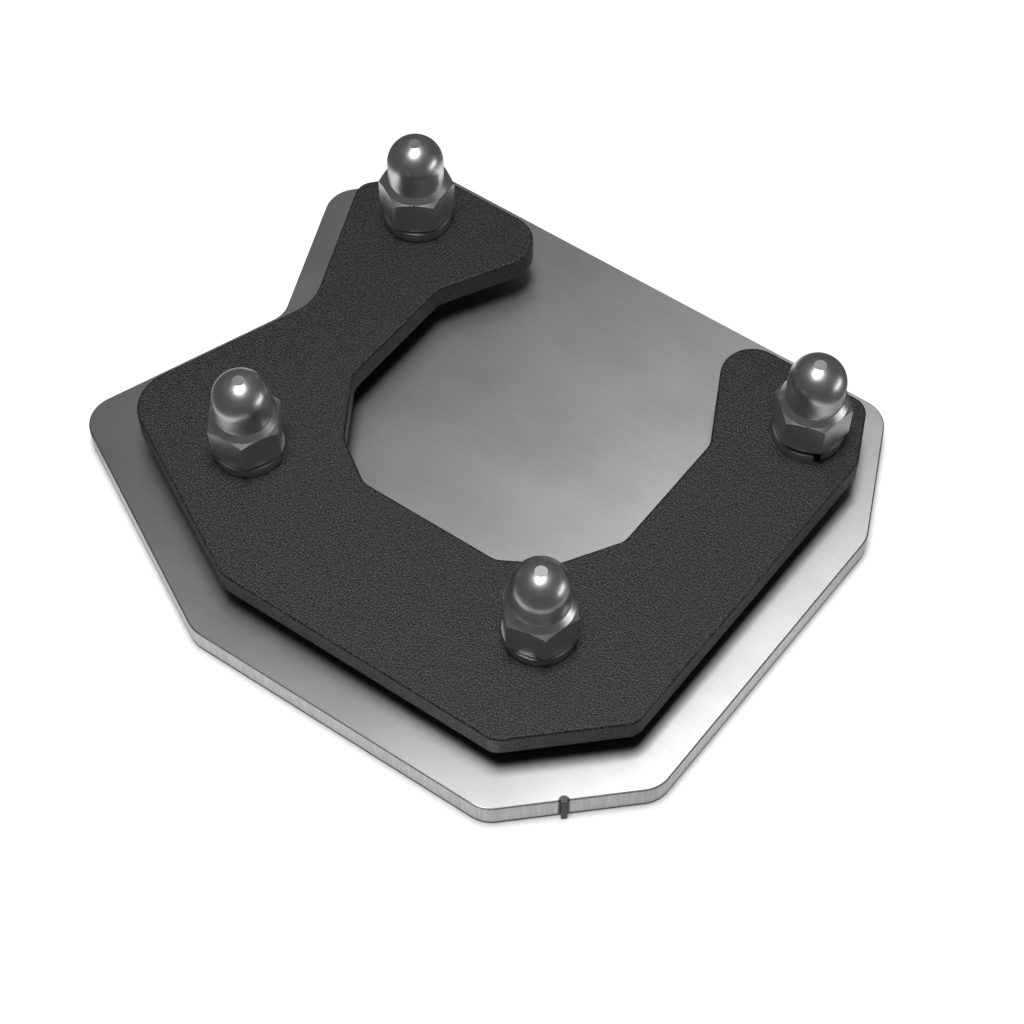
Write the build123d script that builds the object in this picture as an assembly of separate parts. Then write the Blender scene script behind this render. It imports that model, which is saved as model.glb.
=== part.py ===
from build123d import *
from collections import namedtuple
from math import cos, radians, sin, sqrt, tan
import os

# A foot enlarger for a motorcycle's kickstand. A wide base plate stands on the ground, and a C-shaped
# clamp plate sits above it on four sleeves, so that the stand's own foot slides into the gap from the
# open side and is clamped there. All lengths are in millimetres and all angles in degrees.

# Plates and the gap between them
base_thickness = 4.5
clamp_thickness = 4.0
gap_height = 4.5
base_edge_break = 0.2
clamp_edge_radius = 0.4
clamp_edge_break = 0.15

# Outline of the base plate: how far each straight edge lies from the drawing's centre, and for the
# shoulder how much of the back edge it takes off, counted from where the right and back edges would meet
front_reach = 44.4
front_right_reach = 54.4
right_reach = 52.15
shoulder_along_back = 10.345
back_reach = 44.4
back_left_reach = 57.4
notch_reach = 36.4
left_back_reach = 40.8
left_front_reach = 47.8

# The way each of those edges faces, counted from +X towards +Y
front_facing = -90.0
front_right_facing = -48.0
right_facing = -4.0
shoulder_facing = 22.5
back_facing = 90.0
back_left_facing = 135.0
notch_facing = 199.2
left_back_facing = 155.7
left_front_facing = 241.6

# Corners of the base plate
base_corner_radius = 5.0
base_hollow_radius = 4.5

# The clamp plate stays inside the base plate by a rim, which is narrower at the right shoulder
rim_width = 6.1
shoulder_rim_width = 3.3
clamp_corner_radius = 3.0
clamp_left_radius = 6.6
clamp_hollow_radius = 7.0
arm_tip_radius = 5.0

# Window of the clamp plate, from the right arm round the front to the left arm
window_front = 14.45
window_right_arm = (28.5, 19.3)
window_right_side = (27.15, -1.6)
window_right_elbow = (21.4, -10.0)
window_front_right = 13.7
window_front_left = -9.3
window_left_elbow = (-16.1, -9.9)
window_left_side = (-21.7, 0.0)
window_left_arm = (-20.3, 19.9)
throat_right = 19.6
throat_left = -9.0
window_corner_radius = 3.0

# Places of the four screws: back left, left, front, right
screw_places = ((-31.1, 29.8), (-26.5, -19.1), (25.6, -21.0), (39.3, 28.9))

# Countersunk screws
screw_diameter = 6.0
screw_head_diameter = 12.0
screw_head_rim = 0.3
screw_point_chamfer = 0.6
thread_engagement = 5.4
socket_across_flats = 4.0
socket_depth = 2.2
head_clearance = 0.1
hole_clearance = 0.6

# Sleeves that hold the plates apart
sleeve_diameter = 10.0
sleeve_bore_clearance = 0.4

# Split spring washers
washer_outer_diameter = 10.6
washer_bore_clearance = 0.3
washer_thickness = 1.6
washer_rise = 0.5
washer_split_width = 0.9
washer_turns = (120.0, 95.0, 140.0, -52.0)
washer_seat_lift = 0.03

# Domed cap nuts
nut_across_flats = 10.0
nut_height = 14.8
hexagon_height = 6.4
shoulder_rise = 0.9
dome_diameter = 8.5
dome_tip_diameter = 1.8
nut_chamfer_angle = 35.0
nut_foot_diameter = 9.5
nut_bore_clearance = 0.1
nut_bore_depth = 11.0
nut_bore_chamfer = 0.4
drill_point_angle = 118.0
nut_turns = (31.6, 3.7, 11.3, 17.2)

# Nib on the front right edge, left where the plate was parted from its sheet, a little to the front of
# the edge's middle
nib_off_middle = 1.04
nib_width = 0.9
nib_root = 0.5
nib_top_stand_out = 0.3
nib_foot_stand_out = 0.65
nib_foot_height = 0.6

# Heights that follow from the stack
clamp_bottom = base_thickness + gap_height
clamp_top = clamp_bottom + clamp_thickness
nut_seat = clamp_top + washer_thickness + washer_rise + 2 * washer_seat_lift
screw_length = nut_seat + thread_engagement
hole_diameter = screw_diameter + hole_clearance

def meeting_point(facing, reach, other_facing, other_reach):
    """Where two straight edges meet, each given by the way it faces and its distance."""
    facing, other_facing = radians(facing), radians(other_facing)
    cross = sin(other_facing - facing)
    x = (reach * sin(other_facing) - other_reach * sin(facing)) / cross
    y = (other_reach * cos(facing) - reach * cos(other_facing)) / cross
    return (x, y)


def shoulder_reach():
    """How far from the centre the shoulder lies, so that it shortens the back edge by its given length."""
    x, y = meeting_point(right_facing, right_reach, back_facing, back_reach)
    facing = radians(shoulder_facing)
    return (x - shoulder_along_back) * cos(facing) + y * sin(facing)


# One straight side of both plates: the way it faces, how far it lies from the drawing's centre on the
# base plate, how much further in it lies on the clamp plate, and the radius on each plate of the corner
# where it starts, going round counterclockwise
Side = namedtuple("Side", "facing reach rim base_radius clamp_radius")

sides = [
    Side(front_facing, front_reach, rim_width, base_corner_radius, clamp_corner_radius),
    Side(front_right_facing, front_right_reach, rim_width, base_corner_radius, clamp_corner_radius),
    Side(right_facing, right_reach, rim_width, base_corner_radius, clamp_corner_radius),
    Side(shoulder_facing, shoulder_reach(), shoulder_rim_width, base_corner_radius, clamp_corner_radius),
    Side(back_facing, back_reach, rim_width, base_corner_radius, clamp_corner_radius),
    Side(back_left_facing, back_left_reach, rim_width, base_corner_radius, clamp_corner_radius),
    Side(notch_facing, notch_reach, rim_width, base_corner_radius, clamp_corner_radius),
    Side(left_back_facing, left_back_reach, rim_width, base_hollow_radius, clamp_hollow_radius),
    Side(left_front_facing, left_front_reach, rim_width, base_corner_radius, clamp_left_radius),
]


def base_corners():
    """Corners of the base plate, each where the side before meets its own."""
    before = sides[-1:] + sides[:-1]
    return [meeting_point(a.facing, a.reach, b.facing, b.reach) for a, b in zip(before, sides)]


def clamp_corners():
    """Corners of the clamp plate's outside, which keeps in from the base plate by each side's rim."""
    before = sides[-1:] + sides[:-1]
    return [
        meeting_point(a.facing, a.reach - a.rim, b.facing, b.reach - b.rim)
        for a, b in zip(before, sides)
    ]


def rounded_face(points, radii):
    """A flat face whose outline runs through the points with each corner rounded."""
    outline = FilletPolyline(*points, radius=radii, close=True)
    return make_face(outline.edges())


def base_face():
    return rounded_face(base_corners(), [side.base_radius for side in sides])


def window_outline():
    """Corners of the clamp plate's window from the right arm's tip round to the left one's, with radii."""
    back = back_reach - rim_width
    corners = [
        (throat_right, back),
        window_right_arm,
        window_right_side,
        window_right_elbow,
        (window_front_right, -window_front),
        (window_front_left, -window_front),
        window_left_elbow,
        window_left_side,
        window_left_arm,
        (throat_left, back),
    ]
    radii = [window_corner_radius] * len(corners)
    radii[0] = radii[-1] = arm_tip_radius
    return corners, radii


def clamp_face():
    """The clamp plate's outline, which turns in at the middle of the back to go round the window."""
    window, window_radii = window_outline()
    points, radii = [], []
    for side, corner in zip(sides, clamp_corners()):
        points.append(corner)
        radii.append(side.clamp_radius)
        if side.facing == back_facing:
            points += window
            radii += window_radii
    return rounded_face(points, radii)


def hexagon_prism(across_flats, height, turn=0.0):
    """A hexagonal bar that stands on the ground plane, one corner turned from +X."""
    corner_radius = across_flats / sqrt(3)
    return extrude(Rot(0, 0, turn) * RegularPolygon(corner_radius, 6), height)


def round_bar(radius, height):
    """A round bar that stands on the ground plane."""
    return Cylinder(radius, height, align=(Align.CENTER, Align.CENTER, Align.MIN))


def revolved(points):
    """A turned solid about the Z axis from its half section in radius and height."""
    section = make_face(Polyline(*[(r, 0, z) for r, z in points], close=True).edges())
    return revolve(section, Axis.Z)


def countersink():
    """What the screw's hole takes out of the base plate: a cone below a plain bore."""
    rim = screw_head_diameter / 2 + screw_head_rim + head_clearance
    bore = hole_diameter / 2
    cone = revolved([(0, 0), (rim, 0), (bore, rim - bore), (0, rim - bore)])
    return cone + round_bar(bore, base_thickness)


def sheet_nib():
    """A wedge on the front right edge that stands out most at its foot, with its root in the plate."""
    start_x, start_y = meeting_point(front_facing, front_reach, front_right_facing, front_right_reach)
    end_x, end_y = meeting_point(front_right_facing, front_right_reach, right_facing, right_reach)
    facing = radians(front_right_facing)
    x = (start_x + end_x) / 2 + nib_off_middle * sin(facing)
    y = (start_y + end_y) / 2 - nib_off_middle * cos(facing)
    outwards = (cos(facing), sin(facing), 0)
    along = (sin(facing), -cos(facing), 0)
    across = Plane(origin=(x, y, 0), x_dir=outwards, z_dir=along)
    profile = Polyline(
        (-nib_root, 0),
        (nib_foot_stand_out, 0),
        (nib_foot_stand_out, nib_foot_height),
        (nib_top_stand_out, base_thickness),
        (-nib_root, base_thickness),
        close=True,
    )
    return extrude(across * make_face(profile.edges()), nib_width / 2, both=True)


def base_plate():
    plate = extrude(base_face(), base_thickness)
    plate = chamfer(plate.edges().filter_by(Plane.XY), base_edge_break)
    for x, y in screw_places:
        plate -= Pos(x, y, 0) * countersink()
    return plate + sheet_nib()


def clamp_plate():
    """A plate with a rounded edge above, where the coat shows, and a plain broken one below."""
    plate = extrude(clamp_face(), clamp_thickness)
    rim = plate.edges().filter_by(Plane.XY).group_by(Axis.Z)
    plate = fillet(rim[-1], clamp_edge_radius)
    rim = plate.edges().filter_by(Plane.XY).group_by(Axis.Z)
    plate = chamfer(rim[0], clamp_edge_break)
    for x, y in screw_places:
        plate -= Pos(x, y, 0) * round_bar(hole_diameter / 2, clamp_thickness)
    return Pos(0, 0, clamp_bottom) * plate


def countersunk_screw():
    head = screw_head_diameter / 2
    shank = screw_diameter / 2
    point = shank - screw_point_chamfer
    cone_top = screw_head_rim + head - shank
    screw = revolved([
        (0, 0),
        (head, 0),
        (head, screw_head_rim),
        (shank, cone_top),
        (shank, screw_length - screw_point_chamfer),
        (point, screw_length),
        (0, screw_length),
    ])
    return screw - hexagon_prism(socket_across_flats, socket_depth)


def spacer_sleeve():
    bore = (screw_diameter + sleeve_bore_clearance) / 2
    sleeve = round_bar(sleeve_diameter / 2, gap_height) - round_bar(bore, gap_height)
    return Pos(0, 0, base_thickness) * sleeve


def spring_washer():
    """One turn of square wire that climbs against the thread, with a gap between its ends."""
    inner = (screw_diameter + washer_bore_clearance) / 2
    outer = washer_outer_diameter / 2
    middle = (inner + outer) / 2
    open_angle = washer_split_width / middle
    turn = 1 - open_angle / radians(360)
    path = Helix(washer_rise / turn, washer_rise, middle, lefthand=True)
    start = Plane(origin=path @ 0, x_dir=(1, 0, 0), z_dir=path % 0)
    section = start * Rectangle(outer - inner, washer_thickness)
    ring = sweep(section, path, is_frenet=True)
    lift = clamp_top + washer_thickness / 2 + washer_seat_lift
    return Pos(0, 0, lift) * ring


def cap_nut(turn):
    """A hexagon with chamfered corners, a sloping shoulder, a round collar and a dome with a flat tip."""
    flat = nut_across_flats / 2
    corner = nut_across_flats / sqrt(3)
    dome = dome_diameter / 2
    tip = dome_tip_diameter / 2
    slope = tan(radians(nut_chamfer_angle))
    foot = nut_foot_diameter / 2
    foot_corner = (corner, 0, (corner - foot) * slope)
    top_corner = (corner, 0, hexagon_height - (corner - flat) * slope)
    collar_foot = (dome, 0, hexagon_height + shoulder_rise)
    dome_centre = nut_height - sqrt(dome**2 - tip**2)
    bend = radians(45)
    sides_and_foot = Polyline(
        (0, 0, nut_height),
        (0, 0, 0),
        (foot, 0, 0),
        foot_corner,
        top_corner,
        (flat, 0, hexagon_height),
        collar_foot,
        (dome, 0, dome_centre),
    )
    arc = ThreePointArc(
        (dome, 0, dome_centre),
        (dome * cos(bend), 0, dome_centre + dome * sin(bend)),
        (tip, 0, nut_height),
    )
    flat_tip = Line((tip, 0, nut_height), (0, 0, nut_height))
    turned = revolve(make_face([*sides_and_foot.edges(), arc, flat_tip]), Axis.Z)
    body = turned & hexagon_prism(nut_across_flats, nut_height, turn)
    bore = (screw_diameter + nut_bore_clearance) / 2
    mouth = bore + nut_bore_chamfer
    point = bore / tan(radians(drill_point_angle / 2))
    body -= revolved([
        (0, 0),
        (mouth, 0),
        (bore, nut_bore_chamfer),
        (bore, nut_bore_depth - point),
        (0, nut_bore_depth),
    ])
    return Pos(0, 0, nut_seat) * body


def write_part(name, solid, place=(0, 0)):
    """Moves a piece to its screw, then so that the base plate's box is centred, and writes it."""
    moved = Pos(place[0] - centre.X, place[1] - centre.Y, 0) * solid
    moved.label = name
    export_step(moved, os.path.join("parts", name + ".step"))


os.makedirs("parts", exist_ok=True)
centre = base_face().bounding_box().center()

write_part("base_plate", base_plate())
write_part("clamp_plate", clamp_plate())
for number, place in enumerate(screw_places, start=1):
    write_part(f"countersunk_screw_{number}", countersunk_screw(), place)
    write_part(f"spacer_sleeve_{number}", spacer_sleeve(), place)
    write_part(f"spring_washer_{number}", Rot(0, 0, washer_turns[number - 1]) * spring_washer(), place)
    write_part(f"cap_nut_{number}", cap_nut(nut_turns[number - 1]), place)
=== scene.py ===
from math import pi, radians

import bpy
from mathutils import Matrix, Vector


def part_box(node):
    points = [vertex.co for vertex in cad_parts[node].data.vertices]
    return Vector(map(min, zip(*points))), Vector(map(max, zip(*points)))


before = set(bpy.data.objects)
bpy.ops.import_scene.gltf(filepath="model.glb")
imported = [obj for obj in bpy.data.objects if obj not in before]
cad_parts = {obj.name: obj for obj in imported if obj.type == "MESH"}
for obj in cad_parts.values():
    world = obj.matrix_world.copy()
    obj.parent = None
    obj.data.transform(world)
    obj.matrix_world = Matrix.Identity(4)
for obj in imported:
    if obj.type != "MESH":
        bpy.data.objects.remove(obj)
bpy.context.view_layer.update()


# Place where the part stands: a pale floor under soft studio light, seen from above its front right
# side. An oval soft light hangs overhead, two weaker ones behind it, and a low strip stands to the right.
MM = 0.001


class Value:
    """A number, colour or vector that changes over a surface. Sums and products add Math nodes."""

    def __init__(self, finish, socket):
        self.finish = finish
        self.socket = socket

    def math(self, operation, first, second):
        settings = {"operation": operation}
        return self.finish.node("ShaderNodeMath", settings, {0: first, 1: second})

    def __add__(self, other):
        return self.math("ADD", self, other)

    def __sub__(self, other):
        return self.math("SUBTRACT", self, other)

    def __rsub__(self, other):
        return self.math("SUBTRACT", other, self)

    def __mul__(self, other):
        return self.math("MULTIPLY", self, other)

    def at_most(self, other):
        return self.math("MINIMUM", self, other)

    __radd__ = __add__
    __rmul__ = __mul__


class Finish:
    """The nodes of a new material or world, which start with one shader and the output."""

    def __init__(self, owner, shader="ShaderNodeBsdfPrincipled", output="ShaderNodeOutputMaterial"):
        owner.use_nodes = True
        self.owner = owner
        self.tree = owner.node_tree
        self.tree.nodes.clear()
        self.shader = self.tree.nodes.new(shader)
        surface = self.tree.nodes.new(output).inputs["Surface"]
        self.tree.links.new(self.shader.outputs[0], surface)

    def put(self, socket, value):
        """Links a changing value to a socket, or writes a plain one on it."""
        if isinstance(value, Value):
            self.tree.links.new(value.socket, socket)
        else:
            socket.default_value = value

    def node(self, kind, settings=None, inputs=None, output=0):
        """Adds a node of any kind, with its settings first and then its sockets."""
        node = self.tree.nodes.new(kind)
        for name, setting in (settings or {}).items():
            setattr(node, name, setting)
        for name, value in (inputs or {}).items():
            self.put(node.inputs[name], value)
        return Value(self, node.outputs[output])

    def set(self, **sockets):
        """Sets the shader's sockets, whose names are written with _ for each space."""
        for name, value in sockets.items():
            self.put(self.shader.inputs[name.replace("_", " ")], value)

    def blend(self, share, first, second):
        """Fills the sockets of a finish whose shader is a Mix Shader."""
        for socket, value in zip(self.shader.inputs, (share, first, second)):
            self.put(socket, value)

    def place(self, scale=(1.0, 1.0, 1.0)):
        """Object coordinates, stretched."""
        here = self.node("ShaderNodeTexCoord", output="Object")
        return self.node("ShaderNodeMapping", None, {"Vector": here, "Scale": scale})

    def noise(self, pitch, detail=1.0, roughness=0.5):
        """Noise between 0 and 1, whose lumps have a pitch in metres along X, Y and Z."""
        place = self.place([1.0 / length for length in pitch])
        inputs = {"Vector": place, "Scale": 1.0, "Detail": detail, "Roughness": roughness}
        return self.node("ShaderNodeTexNoise", None, inputs)

    def ramp(self, value, low, high):
        """A straight run from 0 to 1 while the value goes from low to high."""
        inputs = {"Value": value, "From Min": low, "From Max": high}
        return self.node("ShaderNodeMapRange", None, inputs)

    def between(self, share, first, second):
        """A number between two numbers."""
        return share * (second - first) + first

    def mix(self, share, first, second):
        """A colour between two colours, where a plain number stands for a grey."""
        first_colour, second_colour, result = 6, 7, 2
        first, second = (end if isinstance(end, Value) else grey(end) for end in (first, second))
        inputs = {"Factor": share, first_colour: first, second_colour: second}
        return self.node("ShaderNodeMix", {"data_type": "RGBA"}, inputs, result)

    def bump(self, height, depth):
        """Normals for a height between 0 and 1 that is depth metres deep."""
        inputs = {"Height": height, "Distance": depth, "Strength": 1.0}
        return self.node("ShaderNodeBump", None, inputs)


def grey(level):
    return (level, level, level, 1.0)


camera_elevation = 58.0
camera_turn = 34.0
camera_roll = 0.198
camera_distance = 0.36156
camera_near = 0.01
aim = Vector((7.1 * MM, -0.22 * MM, 0.5 * MM))
picture_lens = 85.285
picture_sensor = 36.0

camera = bpy.data.objects.new("camera", bpy.data.cameras.new("camera"))
bpy.context.scene.collection.objects.link(camera)
camera.data.lens = picture_lens
camera.data.sensor_width = picture_sensor
camera.data.clip_start = camera_near
turned = Matrix.Rotation(radians(camera_turn), 4, "Z")
tilted = Matrix.Rotation(radians(90.0 - camera_elevation), 4, "X")
rolled = Matrix.Rotation(radians(camera_roll), 4, "Z")
pointing = turned @ tilted @ rolled
camera_place = aim + pointing @ Vector((0.0, 0.0, camera_distance))
camera.matrix_world = Matrix.Translation(camera_place) @ pointing
bpy.context.scene.camera = camera

light_target = Vector((0.0, 0.0, 10.0 * MM))


def soft_light(name, shape, size, place, brightness, target=light_target, spin=0.0):
    """An area light that faces a target. Its brightness is how white its face looks, 1 being paper."""
    lamp = bpy.data.lights.new(name, "AREA")
    lamp.shape = shape
    lamp.size = size[0]
    lamp.size_y = size[1]
    area = size[0] * size[1] * (pi / 4 if shape == "ELLIPSE" else 1.0)
    lamp.energy = brightness * pi * area
    light = bpy.data.objects.new(name, lamp)
    bpy.context.scene.collection.objects.link(light)
    facing = (place - target).to_track_quat("Z", "Y").to_matrix().to_4x4()
    spun = Matrix.Rotation(radians(spin), 4, "Z")
    light.matrix_world = Matrix.Translation(place) @ facing @ spun
    light.visible_camera = False
    return light


def brightness_for(level, size, distance):
    """How white an oval light's face is when it lights a white sheet below it to a level."""
    return level * (1.0 + 4.0 * distance**2 / (size[0] * size[1]))


# The overhead light shows in the brushed plate and as the nuts' white spots, and the back light on their
# flat tips. The weak key light, which metal doesn't mirror, softens the shadows.
light_distance = 0.9
overhead_direction = Vector((0.0, -0.05, 0.999))
overhead_size = (0.26, 0.44)
overhead_level = 0.60
key_direction = Vector((-0.20, 0.16, 0.967))
key_size = (0.5, 0.5)
key_level = 0.12
back_place = Vector((-0.17, 0.33, 0.8))
back_size = (0.24, 0.40)
back_spin = -9.0
back_brightness = 0.6
strip_direction = Vector((0.912, 0.406, 0.052))
strip_distance = 1.2
strip_size = (0.75, 0.1)
strip_brightness = 6.0

overhead_brightness = brightness_for(overhead_level, overhead_size, light_distance)
overhead_place = overhead_direction * light_distance
soft_light("overhead_light", "ELLIPSE", overhead_size, overhead_place, overhead_brightness)
key_brightness = brightness_for(key_level, key_size, light_distance)
key = soft_light("key_light", "ELLIPSE", key_size, key_direction * light_distance, key_brightness)
key.visible_glossy = False
below_back = Vector((back_place.x, back_place.y, 0.0))
soft_light("back_light", "RECTANGLE", back_size, back_place, back_brightness, below_back, back_spin)
strip_place = strip_direction * strip_distance
strip = soft_light("strip_light", "RECTANGLE", strip_size, strip_place, strip_brightness)
strip.visible_diffuse = False

# The room is dim, and white only where the camera looks straight at it.
room_grey = 0.09

room = Finish(bpy.data.worlds.new("room"), "ShaderNodeMixShader", "ShaderNodeOutputWorld")
room.blend(
    room.node("ShaderNodeLightPath", output="Is Camera Ray"),
    room.node("ShaderNodeBackground", None, {"Color": grey(room_grey)}),
    room.node("ShaderNodeBackground", None, {"Color": grey(1.0)}),
)
bpy.context.scene.world = room.owner

# Polished metal mirrors the floor as white out to floor_near from the part's middle, and as a dim room
# from floor_far on. floor_lift keeps the floor white beside the part's shadow.
floor_size = 3.0
floor_white = 1.2
floor_lift = 0.12
floor_near = 0.055
floor_far = 0.075
floor_far_grey = 0.12

bpy.ops.object.select_all(action="DESELECT")
bpy.ops.mesh.primitive_plane_add(size=floor_size)
floor = bpy.context.object
floor.name = "floor"
paper = Finish(bpy.data.materials.new("pale_floor"), "ShaderNodeMixShader")
looked_at = paper.node("ShaderNodeLightPath", output="Is Camera Ray")
mirrored = paper.node("ShaderNodeLightPath", output="Is Glossy Ray")
seen_through = paper.node("ShaderNodeLightPath", output="Is Transmission Ray")
reach = paper.node("ShaderNodeVectorMath", {"operation": "LENGTH"}, {0: paper.place()}, "Value")
near = 1.0 - paper.ramp(reach, floor_near, floor_far)
sheet = paper.node("ShaderNodeBsdfDiffuse", None, {"Color": grey(floor_white)})
shine = paper.node("ShaderNodeEmission", None, {"Color": grey(1.0), "Strength": floor_lift})
paper.blend(
    (looked_at + seen_through + mirrored * near).at_most(1.0),
    paper.node("ShaderNodeBsdfDiffuse", None, {"Color": grey(floor_far_grey)}),
    paper.node("ShaderNodeAddShader", None, {0: sheet, 1: shine}),
)
floor.data.materials.append(paper.owner)


# Base plate: the wide foot that stands on the ground, sheet steel cut by laser, then brushed along its
# length and handled since, so that its top has a straight grain and cloudy smears. Its cut sides are
# duller, with upright marks, and the nib that held it in its sheet is dark. A contact shadow is painted
# on the cut sides: their colour goes dark in a band along the ground.
plate_grey = 0.56
smear_grey = 0.50
smear_pitch = (MM / 0.055, MM / 0.088, MM / 0.055)
smear_low, smear_high = 0.40, 0.64
plate_roughness = (0.275, 0.305)
brushed_slopes = (0.0, -0.2, 0.2, -0.4, 0.4)
line_pitch = (9.0 * MM, 0.22 * MM, 0.22 * MM)
line_contrast = 0.06
line_depth = 0.0015 * MM
side_grey = 0.46
side_contrast = 0.12
side_roughness = 0.45
side_mark_pitch = (0.3 * MM, 0.3 * MM, 6.0 * MM)
# Painted contact shadow: the cut sides' colour is painted dark in a band along the ground.
contact_shade_grey = 0.05
contact_shade_height = 0.7 * MM
contact_shade_fade = 0.4
edge_height = 0.2 * MM
edge_lift = 1.0
nib_place = Vector((40.59 * MM, -36.84 * MM, 0.0))
nib_reach = 0.9 * MM
nib_fade = 0.2
nib_grey = 0.07
top_skin = 0.05 * MM
under_skin = 0.02 * MM
noise_low, noise_high = 0.3, 0.7
top_of_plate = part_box("base_plate")[1][2]


def dress(node, finish):
    """Gives a piece its material."""
    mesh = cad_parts[node].data
    mesh.materials.clear()
    mesh.materials.append(finish.owner)


plate = Finish(bpy.data.materials.new("brushed_plate"), "ShaderNodeMixShader")
height = plate.node("ShaderNodeSeparateXYZ", None, {0: plate.place()}, "Z")
on_top = plate.ramp(height, top_of_plate - 2.0 * top_skin, top_of_plate - top_skin)
underneath = 1.0 - plate.ramp(height, under_skin, 2.0 * under_skin)

lines = plate.noise(line_pitch)
smears = plate.ramp(plate.noise(smear_pitch, 3.0, 0.55), smear_low, smear_high)
bare = plate.mix(smears, plate_grey, smear_grey)
face_colour = plate.mix(plate.ramp(lines, noise_low, noise_high) * line_contrast, bare, 0.0)

cut_marks = plate.ramp(plate.noise(side_mark_pitch), noise_low, noise_high)
cut_colour = plate.mix(cut_marks, side_grey * (1.0 - side_contrast), side_grey * (1.0 + side_contrast))
# Mask of the painted contact shadow, which darkens the cut sides' colour near the ground.
above_contact_shade = plate.ramp(height, (1.0 - contact_shade_fade) * contact_shade_height, contact_shade_height)
side_colour = plate.mix(above_contact_shade, contact_shade_grey, cut_colour)

from_nib = {0: plate.place((1.0, 1.0, 0.0)), 1: nib_place}
nib_distance = plate.node("ShaderNodeVectorMath", {"operation": "DISTANCE"}, from_nib, "Value")
nib = 1.0 - plate.ramp(nib_distance, (1.0 - nib_fade) * nib_reach, nib_reach)

plate_colour = plate.mix(nib, plate.mix(on_top + underneath, side_colour, face_colour), nib_grey)
plate_sheen = plate.between(on_top, side_roughness, plate.between(lines, *plate_roughness))
plate_marks = plate.bump(lines * on_top, line_depth)
edge = plate.ramp(height, top_of_plate - edge_height, top_of_plate) * edge_lift


def brushed(slope):
    """Metal whose top leans by a slope across the grain, as one set of its hairlines does."""
    lean = plate.node("ShaderNodeCombineXYZ", None, {"Y": on_top * slope, "Z": edge})
    leaning = plate.node("ShaderNodeVectorMath", {"operation": "ADD"}, {0: plate_marks, 1: lean})
    normal = plate.node("ShaderNodeVectorMath", {"operation": "NORMALIZE"}, {0: leaning})
    sockets = {"Base Color": plate_colour, "Metallic": 1.0, "Roughness": plate_sheen, "Normal": normal}
    return plate.node("ShaderNodeBsdfPrincipled", None, sockets)


hairlines = brushed(brushed_slopes[0])
for count, slope in enumerate(brushed_slopes[1:-1], start=2):
    inputs = {0: 1.0 / count, 1: hairlines, 2: brushed(slope)}
    hairlines = plate.node("ShaderNodeMixShader", None, inputs)
plate.blend(1.0 / len(brushed_slopes), hairlines, brushed(brushed_slopes[-1]))
dress("base_plate", plate)


# Countersunk socket screws, which come up through the base plate from below and hold everything
# together: plain bright steel with a fine, uneven grain.
screw_greys = (0.46, 0.60)
screw_roughness = (0.25, 0.40)
screw_grain_pitch = [MM / 2.2] * 3
screw_grain_depth = 0.006 * MM


def dress_all(kind, finish):
    """Dresses the four pieces of a kind, one on each screw."""
    for number in range(1, 5):
        dress(f"{kind}_{number}", finish)


screw = Finish(bpy.data.materials.new("screw_steel"))
screw_grain = screw.noise(screw_grain_pitch, 2.0, 0.6)
screw.set(
    Metallic=1.0,
    Base_Color=screw.mix(screw_grain, *screw_greys),
    Roughness=screw.between(screw_grain, *screw_roughness),
    Normal=screw.bump(screw_grain, screw_grain_depth),
)
dress_all("countersunk_screw", screw)


# Spacer sleeves, which stand round the screws and keep the two plates apart: cut from steel tube and
# faced on a lathe, with turning marks round them.
sleeve_greys = (0.44, 0.58)
sleeve_roughness = (0.28, 0.43)
sleeve_mark_pitch = (12.5 * MM, 12.5 * MM, MM / 6.0)
sleeve_mark_depth = 0.01 * MM

sleeve = Finish(bpy.data.materials.new("sleeve_steel"))
sleeve_marks = sleeve.noise(sleeve_mark_pitch)
sleeve.set(
    Metallic=1.0,
    Base_Color=sleeve.mix(sleeve_marks, *sleeve_greys),
    Roughness=sleeve.between(sleeve_marks, *sleeve_roughness),
    Normal=sleeve.bump(sleeve_marks, sleeve_mark_depth),
)
dress_all("spacer_sleeve", sleeve)


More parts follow.
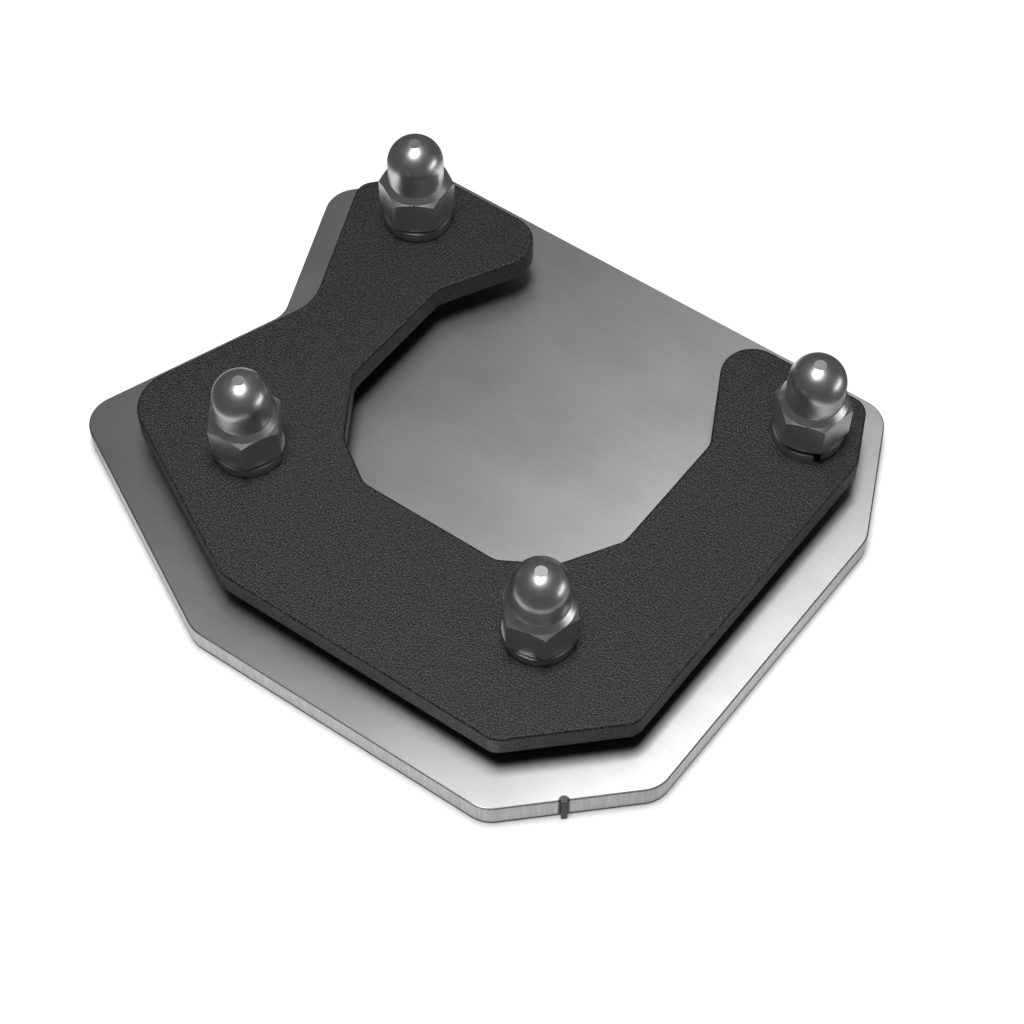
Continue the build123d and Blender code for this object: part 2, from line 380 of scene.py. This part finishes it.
# Clamp plate: the C-shaped plate that lies on the sleeves over the stand's foot, sheet steel cut by
# laser, with a fine-grained black powder coat baked on and paler specks in the grain.
coat_grey = 0.005
coat_speck_grey = 0.065
coat_roughness = (0.41, 0.51)
coat_grain_pitch = 0.26 * MM
coat_grain_depth = 0.12 * MM
coat_speck_pitch = coat_grain_pitch / 1.2
speck_low, speck_high = 0.48, 0.72

coat = Finish(bpy.data.materials.new("black_coat"))
coat_grain = coat.noise([coat_grain_pitch] * 3, 1.0, 0.6)
specks = coat.ramp(coat.noise([coat_speck_pitch] * 3, 0.0), speck_low, speck_high)
coat.set(
    Base_Color=coat.mix(specks, coat_grey, coat_speck_grey),
    Roughness=coat.between(coat_grain, *coat_roughness),
    Normal=coat.bump(coat_grain, coat_grain_depth),
)
dress("clamp_plate", coat)


# Spring washers, one under each nut: square steel wire coiled once and cut, so that it bites as the nut
# turns down on it. Drawing has left fine rings round it.
washer_greys = (0.48, 0.66)
washer_roughness = (0.22, 0.37)
washer_ring_pitch = (MM / 0.06, MM / 0.06, 0.25 * MM)

washer = Finish(bpy.data.materials.new("washer_steel"))
washer_rings = washer.noise(washer_ring_pitch)
washer.set(
    Metallic=1.0,
    Base_Color=washer.mix(washer_rings, *washer_greys),
    Roughness=washer.between(washer_rings, *washer_roughness),
)
dress_all("spring_washer", washer)


# Cap nuts, which close the screws' ends: hexagon, collar and dome made from bright steel bar and
# polished by tumbling, with faint pits and a cloudy shine.
nut_greys = (0.62, 0.76)
nut_roughness = (0.28, 0.38)
nut_cloud_pitch = [MM / 0.6] * 3
nut_pit_pitch = [0.5 * MM] * 3
nut_pit_depth = 0.004 * MM

nut = Finish(bpy.data.materials.new("bright_nut"))
clouds = nut.noise(nut_cloud_pitch, 2.0, 0.6)
pits = nut.noise(nut_pit_pitch, 1.0, 0.6)
nut.set(
    Metallic=1.0,
    Base_Color=nut.mix(clouds, *nut_greys),
    Roughness=nut.between(clouds, *nut_roughness),
    Normal=nut.bump(pits, nut_pit_depth),
)
dress_all("cap_nut", nut)


# The picture's colours.
bpy.context.scene.view_settings.view_transform = "Standard"
